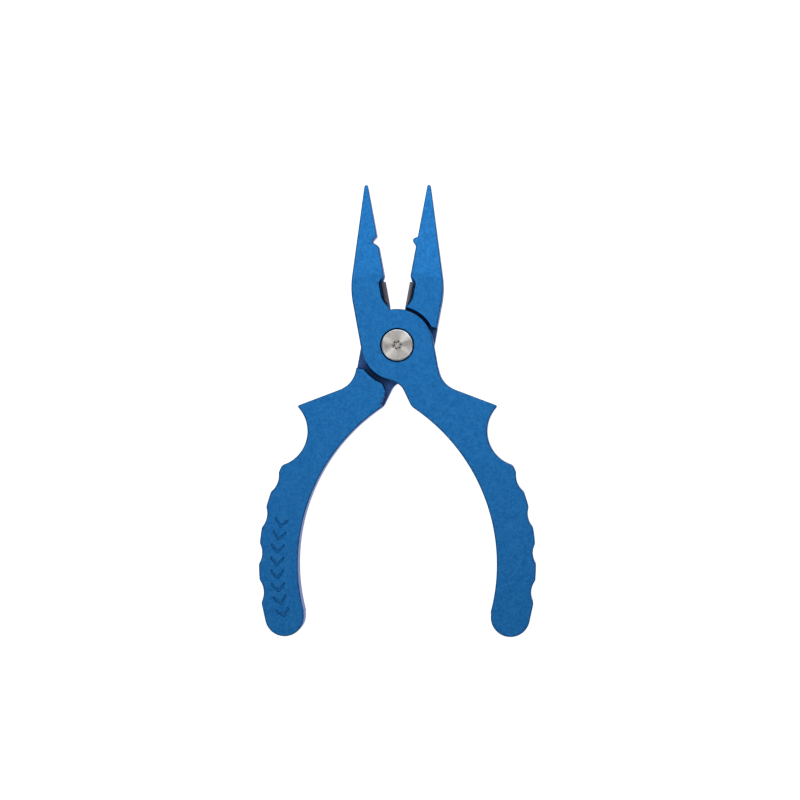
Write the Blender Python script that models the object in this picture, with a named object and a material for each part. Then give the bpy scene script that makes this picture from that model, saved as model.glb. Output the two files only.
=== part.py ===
"""Compact fishing pliers in machined aluminium, lying half open on their flat bottom faces.

Two halves cross at a lap joint. The upper half has the left jaw and the right handle, the lower half
is the same shape turned over, with the right jaw and the left handle. Both turn on a stainless screw
and barrel nut, and a torsion spring hidden between them opens them as far as a stop pin.

World frame: metres, the origin on the pivot axis in the plane that the pliers lie on, +Y towards the
jaw tips, +Z up. Each half is drawn in its own frame, in millimetres, with the jaws shut: its jaw at -X,
its handle at +X, and the face that carries the lap at the bottom.
"""
import bpy
import bmesh
from math import atan2, acos, cos, degrees, pi, radians, sin
from mathutils import Vector

MM = 0.001

# Whole tool
THICKNESS = 10.0
MIDDLE = THICKNESS / 2
OPEN_DEG = 20.75
LAP_GAP = 0.3
EDGE_CHAMFER = 0.3
GAP = 0.3
ARC_STEP_DEG = 6.0
ROUND_STEPS = 4

# Boss and jaw; a corner is (x, y) and how far its rounding reaches
BOSS_R = 12.0
TIP_Y = 54.3
TIP_REACH = 0.5
TIP_OUTER_X = -1.25
JAW_FACE_X = -0.2
SHOULDER_CORNER = (-BOSS_R, 20.97, 4.4)
THROAT_CORNER = (JAW_FACE_X, BOSS_R, 0.3)
CREASE_Y = 24.5
TIP_THICKNESS = 4.0

# Handle
ROOT_CORNER = (-1.0, -13.6, 1.6)
ROOT_LEAVES_BOSS_DEG = 252
PALM_CORNER = (1.0, -21.0, 1.2)
PALM_CENTRE = (-42.0, -66.2)
PALM_R = 62.4
PALM_TO_DEG = -25.1
PALM_STEP_DEG = 3.4
TOE_CENTRE = (20.64, -95.5)
TOE_R = 6.5
TOE_TO_DEG = 337.2
TOE_STEP_DEG = 13
HEEL_CORNER = (28.95, -92.5, 0.5)
BACK_CENTRE = (-38.4, -66.5)
BACK_R = 71.8
SCALLOPS = 4
SCALLOP_FIRST_DEG = 11.6
SCALLOP_PITCH_DEG = 9.755
SCALLOP_CENTRE_R = 77.6
SCALLOP_R = 6.8
SCALLOP_STEP_DEG = 14
SCALLOP_REACH = 0.4
CREST_FROM_DEG = 1.4
CREST_TO_DEG = 2.9
BUMP_CORNER = (30.6, -46.2, 0.9)
FINGER_CENTRE = (35.7, -35.6)
FINGER_R = 11.68
FINGER_FROM_DEG = 239.7
FINGER_TO_DEG = 124.8
FINGER_STEP_DEG = 7
SPUR_CORNER = (29.2, -25.85, 1.0)
WAIST_CORNER = (BOSS_R, -15.5, 5.1)

# Lap: what is milled away below the boss so that the other half's boss fits there
LAP_JAW_R = 12.8
LAP_JAW_LEDGE_Y = 7.8
LAP_JAW_TO_DEG = 84
LAP_HANDLE_R = 13.6
LAP_HANDLE_LEDGE_Y = -9.8
LAP_HANDLE_TO_DEG = -78.5
LAP_ROOT_WALL = ((1.9, -14.4), (1.0, -15.7), (1.0, -17.2), (1.6, -20.2), (1.1, -22.0))
LAP_FAR = 20.0

# Crimping notch (upper half) and nub (lower half), in the jaw's face from the boss towards the tip
NOTCH = ((JAW_FACE_X, 33.08), (-0.55, 33.8), (-1.85, 34.95), (-1.85, 35.55), (JAW_FACE_X, 36.82))
NUB = ((JAW_FACE_X, 33.4), (1.1, 34.8), (1.15, 35.75), (0.1, 36.45), (JAW_FACE_X, 36.6))

# Cutter inserts, their pockets (open towards the other jaw, with sloping ends) and screws
POCKET = ((0.8, 24.1), (-2.25, 21.5, 0.8), (-2.25, 15.9, 1.6), (-0.25, 12.25), (0.8, 12.25))
SEAT_HALF_HEIGHT = 2.0
SEAT_LEAD_IN = ((0.6, 24.6), (-0.9, 21.8))
INSERT_HALF_HEIGHT = 3.1
INSERT_BACK_X = -1.57
INSERT_EDGE_X = -0.14
INSERT_BEVEL_X = -0.95
INSERT_EDGE_HALF_FLAT = 0.15
INSERT_TOP_Y = 21.5
INSERT_BOTTOM_Y = 12.9
INSERT_TRIM = ((0.3, INSERT_TOP_Y), (-1.0, INSERT_TOP_Y), (INSERT_BACK_X, 20.8), (INSERT_BACK_X, 16.2),
               (-1.3, 15.25), (INSERT_EDGE_X, INSERT_BOTTOM_Y), (0.3, INSERT_BOTTOM_Y))
INSERT_HOLE_FROM_X = -3.0
CUTTER_SCREW_Y = (16.3, 20.1)
CUTTER_SCREW_HEAD_X = -11.4
CUTTER_SCREW_HEAD_R = 1.4
CUTTER_SCREW_HEAD_RIM = 0.3
CUTTER_SCREW_HEAD_LENGTH = 1.0
CUTTER_SCREW_R = 0.75
CUTTER_SCREW_TIP_X = -1.1
CUTTER_SCREW_HOLE = (-14.0, -1.0)
SOCKET_R = 0.5
SOCKET_DEPTH = 0.7

# Pivot stack; heights are above the bottom face
HEAD_R = 5.25
HEAD_TOP = 9.8
HEAD_BOTTOM = 8.6
HEAD_RIM = 0.4
COUNTERBORE_R = 5.6
WEB_TOP = 7.6
BUSH_BORE_R = 4.6
BARREL_R = 3.2
BARREL_TOP = 8.3
NUT_RIM = 0.3
SPANNER_HOLE_X = 3.2
SPANNER_HOLE_R = 0.7
SPANNER_HOLE_DEPTH = 0.8
THREAD_R = 2.0
SHANK_R = 1.7
SHANK_END = 3.0
RECESS_R = 1.22
RECESS_LOBE = 0.26
RECESS_DEPTH = 0.9
RECESS_TURN_DEG = 13
WASHER_R = 5.2
WASHER_THICKNESS = 0.4
THRUST_R = 5.9
THRUST_THICKNESS = 0.6
THRUST_RECESS = 0.6
TURN_SEGMENTS = 40
SMALL_SEGMENTS = 16

# Spring and stop
SPRING_R = 7.0
SPRING_WIRE = 0.8
SPRING_TURNS = 2.25
SPRING_PITCH = 1.2
SPRING_START_DEG = 250
SPRING_LEG = 6.5
SPRING_STEPS_PER_TURN = 20
GROOVE_INNER_R = 6.3
GROOVE_OUTER_R = 7.7
GROOVE_DEPTH = 2.1
STOP_R = 9.8
STOP_AT_DEG = 190
STOP_SLOT_SPARE_DEG = 2
STOP_SLOT_STEP_DEG = 30
STOP_SLOT_DEPTH = 2.0
STOP_PIN_R = 0.8
STOP_PIN_RIM = 0.2
STOP_PIN_LOW = 1.8
STOP_PIN_HIGH = MIDDLE + 1.7

# Grooves milled in the left handle's top face: a plain row of chevrons
CHEVRONS = 8
CHEVRON_FIRST_DEG = 1.6
CHEVRON_PITCH_DEG = 3.55
CHEVRON_ARC_R = 69.3
CHEVRON_HALF_WIDTH = 2.1
CHEVRON_RISE = 1.5
CHEVRON_STROKE = 0.85
CHEVRON_DEPTH = 0.35


# ---------------------------------------------------------------- outlines

def arc(centre, radius, start, end, step=ARC_STEP_DEG):
    """Points on an arc from start to end, in degrees, both ends included."""
    count = max(1, round(abs(end - start) / step))
    angles = [radians(start + (end - start) * i / count) for i in range(count + 1)]
    return [(centre[0] + radius * cos(a), centre[1] + radius * sin(a)) for a in angles]


def walk(points, index, direction, distance):
    """The point this far along a closed outline from one of its corners, and the corners passed."""
    passed = []
    here = index
    while True:
        ahead = (here + direction) % len(points)
        span = (points[ahead] - points[here]).length
        if distance <= span:
            return points[here].lerp(points[ahead], distance / span), passed
        distance -= span
        here = ahead
        passed.append(here)


def soften(path, steps=ROUND_STEPS):
    """Closed outline from (x, y) points and (x, y, reach) corners, which are rounded that far each way."""
    points = [Vector(p[:2]) for p in path]
    curves = {}
    swallowed = set()
    for index, corner in enumerate(path):
        if len(corner) < 3:
            continue
        start, before = walk(points, index, -1, corner[2])
        end, after = walk(points, index, 1, corner[2])
        swallowed.update(before + after)
        control = points[index]
        curves[index] = [start.lerp(control, t).lerp(control.lerp(end, t), t)
                         for t in (i / steps for i in range(steps + 1))]
    outline = []
    for index, point in enumerate(points):
        if index not in swallowed:
            outline += curves.get(index, [point])
    return [(p.x, p.y) for p in outline]


def scallop(centre_deg):
    """One shallow finger scallop in the handle's back, from its lower end to its upper end."""
    a = radians(centre_deg)
    centre = (BACK_CENTRE[0] + SCALLOP_CENTRE_R * cos(a), BACK_CENTRE[1] + SCALLOP_CENTRE_R * sin(a))
    spread = (SCALLOP_CENTRE_R ** 2 + SCALLOP_R ** 2 - BACK_R ** 2) / (2 * SCALLOP_CENTRE_R * SCALLOP_R)
    half = degrees(acos(spread))
    return arc(centre, SCALLOP_R, centre_deg + 180 + half, centre_deg + 180 - half, SCALLOP_STEP_DEG)


def back_edge():
    """The handle's back from the heel up to the bump above the first scallop, with its scallops."""
    edge = []
    for number in reversed(range(SCALLOPS)):
        curve = scallop(SCALLOP_FIRST_DEG - SCALLOP_PITCH_DEG * number)
        edge.append(curve[0] + (SCALLOP_REACH,))
        edge += curve[1:-1]
        edge.append(curve[-1] + (SCALLOP_REACH,))
        if number:
            top = degrees(atan2(curve[-1][1] - BACK_CENTRE[1], curve[-1][0] - BACK_CENTRE[0]))
            edge += arc(BACK_CENTRE, BACK_R, top + CREST_FROM_DEG, top + CREST_TO_DEG)
    return edge


def half_outline(jaw_feature):
    """One half seen from above with the jaws shut, anticlockwise from the jaw tip's outer corner."""
    path = [(TIP_OUTER_X, TIP_Y, TIP_REACH), SHOULDER_CORNER]
    path += arc((0, 0), BOSS_R, 180, ROOT_LEAVES_BOSS_DEG)
    path += [ROOT_CORNER, PALM_CORNER]
    palm_from = degrees(atan2(PALM_CORNER[1] - PALM_CENTRE[1], PALM_CORNER[0] - PALM_CENTRE[0]))
    path += arc(PALM_CENTRE, PALM_R, palm_from, PALM_TO_DEG, PALM_STEP_DEG)[1:]
    path += arc(TOE_CENTRE, TOE_R, 180 + PALM_TO_DEG, TOE_TO_DEG, TOE_STEP_DEG)[1:]
    path.append(HEEL_CORNER)
    path += back_edge()
    path.append(BUMP_CORNER)
    path += arc(FINGER_CENTRE, FINGER_R, FINGER_FROM_DEG, FINGER_TO_DEG, FINGER_STEP_DEG)
    path += [SPUR_CORNER, WAIST_CORNER]
    path += arc((0, 0), BOSS_R, 0, 90)[:-1]
    path.append(THROAT_CORNER)
    path += jaw_feature
    path.append((JAW_FACE_X, TIP_Y, TIP_REACH))
    return soften(path)


def lap_outline():
    """Plan of what is milled below the boss: past the jaw's shoulder, round the right, to the handle."""
    ledge = degrees(atan2(LAP_JAW_LEDGE_Y, -(LAP_JAW_R ** 2 - LAP_JAW_LEDGE_Y ** 2) ** 0.5))
    handle_out = (LAP_HANDLE_R ** 2 - LAP_HANDLE_LEDGE_Y ** 2) ** 0.5
    handle_from = degrees(atan2(LAP_HANDLE_LEDGE_Y, handle_out))
    outline = [(-LAP_FAR, LAP_JAW_LEDGE_Y)]
    outline += arc((0, 0), LAP_JAW_R, ledge, LAP_JAW_TO_DEG)
    outline += [(LAP_FAR, LAP_JAW_R), (LAP_FAR, LAP_HANDLE_LEDGE_Y)]
    outline += arc((0, 0), LAP_HANDLE_R, handle_from, LAP_HANDLE_TO_DEG)
    outline += LAP_ROOT_WALL
    outline.append((-LAP_FAR, LAP_ROOT_WALL[-1][1]))
    return outline


def seat_outline():
    """Plan of the insert's seat at mid-height: its clearance, and a lead-in past its upper end."""
    return list(SEAT_LEAD_IN) + inset(INSERT_TRIM, -GAP)[1:]


def star_outline():
    """Six-lobed drive recess, turned as the screw was left when it was tightened."""
    outline = []
    for i in range(36):
        angle = 2 * pi * i / 36
        radius = RECESS_R + RECESS_LOBE * cos(6 * angle)
        turn = angle + radians(RECESS_TURN_DEG)
        outline.append((radius * cos(turn), radius * sin(turn)))
    return outline


def chevron_outline(centre_deg):
    """One chevron groove, its point towards the handle's end."""
    outline = []
    for across, along in ((-1, 0), (0, 1), (1, 0), (1, -1), (0, 0), (-1, -1)):
        radius = CHEVRON_ARC_R + across * CHEVRON_HALF_WIDTH
        down = CHEVRON_RISE * (1 - abs(across)) - CHEVRON_STROKE * (across != 0 and along < 0)
        down += CHEVRON_STROKE * (across == 0 and along > 0)
        turn = radians(centre_deg) - down / CHEVRON_ARC_R
        outline.append((PALM_CENTRE[0] + radius * cos(turn), PALM_CENTRE[1] + radius * sin(turn)))
    return outline


def on_stop_circle(angle_deg):
    """The point at this angle on the circle that the stop pin stands on."""
    return STOP_R * cos(radians(angle_deg)), STOP_R * sin(radians(angle_deg))


def stop_slot_outline():
    """Curved slot that the stop pin runs in, in the upper half's own frame."""
    opened = STOP_AT_DEG - OPEN_DEG
    closed = STOP_AT_DEG + STOP_SLOT_SPARE_DEG
    reach = STOP_PIN_R + GAP
    outline = arc((0, 0), STOP_R + reach, opened, closed)
    outline += arc(on_stop_circle(closed), reach, closed, closed + 180, STOP_SLOT_STEP_DEG)
    outline += arc((0, 0), STOP_R - reach, closed, opened)
    outline += arc(on_stop_circle(opened), reach, opened + 180, opened + 360, STOP_SLOT_STEP_DEG)
    return outline


# ---------------------------------------------------------------- meshes

def finished(name, bm):
    """Turn a millimetre bmesh into an object in metres, with its faces pointing out."""
    bmesh.ops.remove_doubles(bm, verts=bm.verts, dist=0.001)
    bmesh.ops.recalc_face_normals(bm, faces=bm.faces)
    bmesh.ops.scale(bm, vec=(MM, MM, MM), verts=bm.verts)
    mesh = bpy.data.meshes.new(name)
    bm.to_mesh(mesh)
    bm.free()
    mesh.shade_smooth()
    mesh.set_sharp_from_angle(angle=radians(32))
    obj = bpy.data.objects.new(name, mesh)
    bpy.context.scene.collection.objects.link(obj)
    return obj


def inset(outline, distance):
    """The outline moved in by this distance, with mitred corners."""
    moved = []
    count = len(outline)
    for index in range(count):
        here = Vector(outline[index])
        back = (here - Vector(outline[index - 1])).normalized()
        ahead = (Vector(outline[(index + 1) % count]) - here).normalized()
        mitre = Vector((-back.y - ahead.y, back.x + ahead.x)) / (1 + back.dot(ahead))
        moved.append(tuple(here + mitre * distance))
    return moved


def stack(bm, rings):
    """Join rings of points, from the bottom up, into one closed body with flat ends."""
    loops = [[bm.verts.new(p) for p in ring] for ring in rings]
    count = len(loops[0])
    for low, high in zip(loops, loops[1:]):
        for i in range(count):
            j = (i + 1) % count
            bm.faces.new((low[i], low[j], high[j], high[i]))
    bm.faces.new(loops[0][::-1])
    bm.faces.new(loops[-1])


def slab(name, outline, low, high):
    """Plain upright prism over a plan outline."""
    bm = bmesh.new()
    stack(bm, [[(x, y, z) for x, y in outline] for z in (low, high)])
    return finished(name, bm)


def across_prism(name, profile, low, high):
    """Prism along Y over a profile of (x, z) points."""
    bm = bmesh.new()
    stack(bm, [[(x, y, z) for x, z in profile] for y in (low, high)])
    return finished(name, bm)


def turned(name, profile, centre=(0, 0), segments=TURN_SEGMENTS, along_x=False):
    """Solid of revolution from a closed profile of (radius, height) points, about Z or X."""
    bm = bmesh.new()
    rings = []
    for radius, height in profile:
        angles = [2 * pi * i / segments for i in range(segments)] if radius else [0.0]
        rings.append([bm.verts.new((radius * cos(a), radius * sin(a), height)) for a in angles])
    for ring, following in zip(rings, rings[1:] + rings[:1]):
        if len(ring) == 1 and len(following) == 1:
            continue
        for i in range(segments):
            j = (i + 1) % segments
            corners = [ring[i % len(ring)], ring[j % len(ring)],
                       following[j % len(following)], following[i % len(following)]]
            bm.faces.new(list(dict.fromkeys(corners)))
    if along_x:
        for vert in bm.verts:
            vert.co = Vector((vert.co.z, vert.co.x, vert.co.y))
    bmesh.ops.translate(bm, vec=tuple(centre) + (0,) * (3 - len(centre)), verts=bm.verts)
    return finished(name, bm)


def half_body(name, jaw_feature):
    """One half before its pockets are cut: chamfered rims, and jaws that thin towards the tip."""
    outline = half_outline(jaw_feature)
    rim = inset(outline, EDGE_CHAMFER)
    levels = ((rim, 0), (outline, EDGE_CHAMFER), (outline, THICKNESS - EDGE_CHAMFER), (rim, THICKNESS))
    bm = bmesh.new()
    stack(bm, [[(x, y, z) for x, y in ring] for ring, z in levels])
    bmesh.ops.bisect_plane(bm, geom=bm.verts[:] + bm.edges[:] + bm.faces[:],
                           plane_co=(0, CREASE_Y, 0), plane_no=(0, 1, 0))
    for vert in bm.verts:
        along = max(0.0, (vert.co.y - CREASE_Y) / (TIP_Y - CREASE_Y))
        vert.co.z = MIDDLE + (vert.co.z - MIDDLE) * (1 - along * (1 - TIP_THICKNESS / THICKNESS))
    return finished(name, bm)


# ---------------------------------------------------------------- placing, cutting, colouring

def place(obj, frame):
    """Put a piece in a half's frame."""
    obj.parent = frame
    return obj


def boolean(obj, tool, operation="DIFFERENCE"):
    """Cut or trim a piece with a tool that stays hidden."""
    tool.hide_render = True
    tool.display_type = "WIRE"
    modifier = obj.modifiers.new(tool.name, "BOOLEAN")
    modifier.operation = operation
    modifier.solver = "EXACT"
    modifier.object = tool


def material(name, colour, roughness, metallic):
    """Principled material with one colour."""
    made = bpy.data.materials.new(name)
    made.use_nodes = True
    shader = made.node_tree.nodes["Principled BSDF"]
    shader.inputs["Base Color"].default_value = colour + (1.0,)
    shader.inputs["Roughness"].default_value = roughness
    shader.inputs["Metallic"].default_value = metallic
    return made


def frame_empty(name, rotation, height=0.0):
    """Parent for everything in one half, on the pivot axis."""
    empty = bpy.data.objects.new(name, None)
    empty.rotation_euler = rotation
    empty.location.z = height * MM
    bpy.context.scene.collection.objects.link(empty)
    return empty


# ---------------------------------------------------------------- the two halves

def pivot_cutter(name):
    """Everything turned into a half round the pivot: spring groove, thrust recess, bore, counterbore."""
    lap = MIDDLE - 1.0
    return turned(name, [(0, lap), (GROOVE_OUTER_R, lap), (GROOVE_OUTER_R, MIDDLE + GROOVE_DEPTH),
                         (GROOVE_INNER_R, MIDDLE + GROOVE_DEPTH), (GROOVE_INNER_R, MIDDLE + THRUST_RECESS),
                         (BUSH_BORE_R, MIDDLE + THRUST_RECESS), (BUSH_BORE_R, WEB_TOP),
                         (COUNTERBORE_R, WEB_TOP), (COUNTERBORE_R, THICKNESS + 1), (0, THICKNESS + 1)])


def coil_point(turns):
    """Where the spring's wire is after this many turns, and its direction there, in plan."""
    angle = radians(SPRING_START_DEG) + 2 * pi * turns
    out = Vector((cos(angle), sin(angle)))
    return out, Vector((-out.y, out.x))


def leg_outline(turns, direction):
    """Plan of the straight slot for a spring leg that leaves the coil along its tangent."""
    out, tangent = coil_point(turns)
    tangent *= direction
    half = SPRING_WIRE / 2 + GAP
    near = out * SPRING_R
    far = near + tangent * (SPRING_LEG + GAP)
    return [tuple(p) for p in (near - out * half, far - out * half, far + out * half, near + out * half)]


def cut_half(half, frame, side):
    """Cuts that both halves have, made in the half's own frame."""
    place(half, frame)
    tools = [
        slab("cut_lap_" + side, lap_outline(), -1, MIDDLE + LAP_GAP / 2),
        pivot_cutter("cut_pivot_" + side),
        slab("cut_seat_" + side, seat_outline(), -1, THICKNESS + 1),
        slab("cut_pocket_top_" + side, soften(POCKET), MIDDLE + SEAT_HALF_HEIGHT, THICKNESS + 1),
        slab("cut_pocket_bottom_" + side, soften(POCKET), -1, MIDDLE - SEAT_HALF_HEIGHT),
    ]
    for number, y in enumerate(CUTTER_SCREW_Y, 1):
        tools.append(turned(f"cut_screw_{number}_{side}", cutter_screw_clearance(),
                            (0, y, MIDDLE), SMALL_SEGMENTS, along_x=True))
    for tool in tools:
        boolean(half, place(tool, frame))


def cutter_screw_clearance():
    """Profile along X of the hole for a cutter screw, from outside the jaw to its pocket."""
    head = CUTTER_SCREW_HEAD_R + GAP
    shank = CUTTER_SCREW_R + GAP
    outside, inside = CUTTER_SCREW_HOLE
    seat = CUTTER_SCREW_HEAD_X + GAP
    return [(0, outside), (head, outside), (head, seat), (shank, seat + CUTTER_SCREW_HEAD_LENGTH),
            (shank, inside), (0, inside)]


def upper_half(frame, blue):
    """Left jaw, upper boss and right handle, with the notch, the stop slot and a spring leg's slot."""
    half = half_body("upper_half", NOTCH)
    cut_half(half, frame, "upper")
    slot = slab("cut_stop_slot", stop_slot_outline(), MIDDLE - 1, MIDDLE + STOP_SLOT_DEPTH)
    boolean(half, place(slot, frame))
    boolean(half, slab("cut_leg_upper", leg_outline(SPRING_TURNS, 1), MIDDLE - 1, MIDDLE + GROOVE_DEPTH))
    half.data.materials.append(blue)


def lower_half(frame, blue):
    """Right jaw, lower boss and left handle, with the nub, the pin's hole and the plain grooves."""
    half = half_body("lower_half", NUB)
    cut_half(half, frame, "lower")
    floor = STOP_PIN_LOW - GAP
    hole = [(0, floor), (STOP_PIN_R + GAP, floor), (STOP_PIN_R + GAP, MIDDLE + 1), (0, MIDDLE + 1)]
    boolean(half, turned("cut_pin_hole", hole, on_stop_circle(STOP_AT_DEG - OPEN_DEG / 2), SMALL_SEGMENTS))
    boolean(half, slab("cut_leg_lower", leg_outline(0, -1), MIDDLE - GROOVE_DEPTH, MIDDLE + 1))
    for number in range(CHEVRONS):
        outline = chevron_outline(CHEVRON_FIRST_DEG - CHEVRON_PITCH_DEG * number)
        boolean(half, place(slab(f"cut_chevron_{number + 1}", outline, -1, CHEVRON_DEPTH), frame))
    half.data.materials.append(blue)


# ---------------------------------------------------------------- cutters and their screws

def cutter_insert(name, frame, steel):
    """Wedge with its edge at mid-height, trimmed to the plan of its pocket."""
    high = INSERT_HALF_HEIGHT
    flat = INSERT_EDGE_HALF_FLAT
    profile = [(INSERT_BACK_X, MIDDLE - high), (INSERT_BEVEL_X, MIDDLE - high),
               (INSERT_EDGE_X, MIDDLE - flat), (INSERT_EDGE_X, MIDDLE + flat),
               (INSERT_BEVEL_X, MIDDLE + high), (INSERT_BACK_X, MIDDLE + high)]
    insert = place(across_prism(name, profile, INSERT_BOTTOM_Y - 1, INSERT_TOP_Y + 1), frame)
    boolean(insert, place(slab("trim_" + name, INSERT_TRIM, -1, THICKNESS + 1), frame), "INTERSECT")
    radius = CUTTER_SCREW_R + GAP
    end = CUTTER_SCREW_TIP_X + GAP
    hole = [(0, INSERT_HOLE_FROM_X), (radius, INSERT_HOLE_FROM_X), (radius, end), (0, end)]
    for number, y in enumerate(CUTTER_SCREW_Y, 1):
        tool = turned(f"cut_{name}_{number}", hole, (0, y, MIDDLE), SMALL_SEGMENTS, along_x=True)
        boolean(insert, place(tool, frame))
    insert.data.materials.append(steel)


def cutter_screw(name, frame, y, steel):
    """Small countersunk screw along X, with a hexagonal socket."""
    head = CUTTER_SCREW_HEAD_X
    tip = CUTTER_SCREW_TIP_X
    profile = [(0, head), (CUTTER_SCREW_HEAD_R, head), (CUTTER_SCREW_HEAD_R, head + CUTTER_SCREW_HEAD_RIM),
               (CUTTER_SCREW_R, head + CUTTER_SCREW_HEAD_LENGTH), (CUTTER_SCREW_R, tip), (0, tip)]
    screw = place(turned(name, profile, (0, y, MIDDLE), SMALL_SEGMENTS, along_x=True), frame)
    socket = [(0, head - 1), (SOCKET_R, head - 1), (SOCKET_R, head + SOCKET_DEPTH), (0, head + SOCKET_DEPTH)]
    boolean(screw, place(turned("cut_" + name, socket, (0, y, MIDDLE), 6, along_x=True), frame))
    screw.data.materials.append(steel)


# ---------------------------------------------------------------- pivot, bearings, spring and stop

def pivot_screw(steel):
    """Turned head with a rim chamfer and a six-lobed recess, and a plain shank for its thread."""
    screw = turned("pivot_screw", [(0, SHANK_END), (SHANK_R, SHANK_END), (SHANK_R, HEAD_BOTTOM),
                                   (HEAD_R, HEAD_BOTTOM), (HEAD_R, HEAD_TOP - HEAD_RIM),
                                   (HEAD_R - HEAD_RIM, HEAD_TOP), (0, HEAD_TOP)])
    boolean(screw, slab("cut_star", star_outline(), HEAD_TOP - RECESS_DEPTH, THICKNESS + 1))
    screw.data.materials.append(steel)


def pivot_barrel_nut(steel):
    """Barrel with a flat flange flush with the bottom face, and two spanner holes beside its centre."""
    flange = THICKNESS - HEAD_BOTTOM
    nut = turned("pivot_barrel_nut", [(0, 0), (HEAD_R - NUT_RIM, 0), (HEAD_R, NUT_RIM), (HEAD_R, flange),
                                      (BARREL_R, flange), (BARREL_R, BARREL_TOP), (THREAD_R, BARREL_TOP),
                                      (THREAD_R, SHANK_END - GAP), (0, SHANK_END - GAP)])
    hole = [(0, -1), (SPANNER_HOLE_R, -1), (SPANNER_HOLE_R, SPANNER_HOLE_DEPTH), (0, SPANNER_HOLE_DEPTH)]
    for number, x in enumerate((-SPANNER_HOLE_X, SPANNER_HOLE_X), 1):
        boolean(nut, turned(f"cut_spanner_hole_{number}", hole, (x, 0), SMALL_SEGMENTS))
    nut.data.materials.append(steel)


def ring(name, inner, outer, low, high, finish):
    """Plain washer or sleeve on the pivot."""
    made = turned(name, [(inner, low), (outer, low), (outer, high), (inner, high)])
    made.data.materials.append(finish)


def opening_spring(steel):
    """Torsion spring: round wire wound upwards, with a straight leg along the tangent at each end."""
    count = round(SPRING_TURNS * SPRING_STEPS_PER_TURN)
    rise = SPRING_PITCH * SPRING_TURNS
    route = []
    for i in range(count + 1):
        out, tangent = coil_point(SPRING_TURNS * i / count)
        route.append((out * SPRING_R).to_3d() + Vector((0, 0, MIDDLE - rise / 2 + rise * i / count)))
        if i == 0:
            route.insert(0, route[0] - tangent.to_3d() * SPRING_LEG)
    route.append(route[-1] + tangent.to_3d() * SPRING_LEG)
    curve = bpy.data.curves.new("opening_spring", "CURVE")
    curve.dimensions = "3D"
    curve.bevel_depth = SPRING_WIRE / 2 * MM
    curve.bevel_resolution = 1
    curve.use_fill_caps = True
    spline = curve.splines.new("POLY")
    spline.points.add(len(route) - 1)
    for point, place_at in zip(spline.points, route):
        point.co = (place_at.x * MM, place_at.y * MM, place_at.z * MM, 1)
    spring = bpy.data.objects.new("opening_spring", curve)
    bpy.context.scene.collection.objects.link(spring)
    curve.materials.append(steel)


def stop_pin(steel):
    """Dowel in the lower half that the upper half's slot meets when the pliers are open."""
    profile = [(0, STOP_PIN_LOW), (STOP_PIN_R, STOP_PIN_LOW), (STOP_PIN_R, STOP_PIN_HIGH - STOP_PIN_RIM),
               (STOP_PIN_R - STOP_PIN_RIM, STOP_PIN_HIGH), (0, STOP_PIN_HIGH)]
    pin = turned("stop_pin", profile, on_stop_circle(STOP_AT_DEG - OPEN_DEG / 2), SMALL_SEGMENTS)
    pin.data.materials.append(steel)


def main():
    for obj in list(bpy.data.objects):
        bpy.data.objects.remove(obj, do_unlink=True)
    blue = material("blue_anodised_aluminium", (0.02, 0.15, 0.45), 0.42, 0.9)
    stainless = material("turned_stainless", (0.62, 0.61, 0.58), 0.3, 1.0)
    carbide = material("dark_cutter_steel", (0.10, 0.10, 0.12), 0.4, 1.0)
    black_steel = material("black_screw_steel", (0.03, 0.03, 0.035), 0.5, 0.8)
    bronze = material("bearing_bronze", (0.45, 0.27, 0.10), 0.4, 1.0)

    turn = radians(OPEN_DEG / 2)
    upper = frame_empty("upper_frame", (0, 0, turn))
    lower = frame_empty("lower_frame", (0, pi, -turn), THICKNESS)
    upper_half(upper, blue)
    lower_half(lower, blue)
    for side, frame in (("left", upper), ("right", lower)):
        cutter_insert(side + "_cutter_insert", frame, carbide)
        for number, y in enumerate(CUTTER_SCREW_Y, 1):
            cutter_screw(f"{side}_cutter_screw_{number}", frame, y, black_steel)

    pivot_screw(stainless)
    pivot_barrel_nut(stainless)
    inner = BARREL_R + GAP
    web_bottom = THICKNESS - WEB_TOP
    ring("head_washer", inner, WASHER_R, WEB_TOP + GAP, WEB_TOP + GAP + WASHER_THICKNESS, stainless)
    ring("nut_washer", inner, WASHER_R, web_bottom - GAP - WASHER_THICKNESS, web_bottom - GAP, stainless)
    ring("upper_bush", inner, BUSH_BORE_R - GAP, MIDDLE + THRUST_RECESS, WEB_TOP, bronze)
    ring("lower_bush", inner, BUSH_BORE_R - GAP, web_bottom, MIDDLE - THRUST_RECESS, bronze)
    half_thrust = THRUST_THICKNESS / 2
    ring("thrust_washer", inner, THRUST_R, MIDDLE - half_thrust, MIDDLE + half_thrust, bronze)
    opening_spring(stainless)
    stop_pin(stainless)


main()
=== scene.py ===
"""Looks of the compact fishing pliers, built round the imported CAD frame.

Every CAD node gets a finer piece in its place: the same outlines with closer steps, rounded edges,
chamfered pockets, turned rings and a procedural material. Shapes are drawn in millimetres. Each half is
drawn in its own frame with the jaws shut, its jaw at -X, its handle at +X and the lap at the bottom, as in
the CAD source.
"""
from math import acos, atan2, cos, degrees, pi, radians, sin

import bmesh
import bpy
from mathutils import Euler, Matrix, Vector


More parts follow.
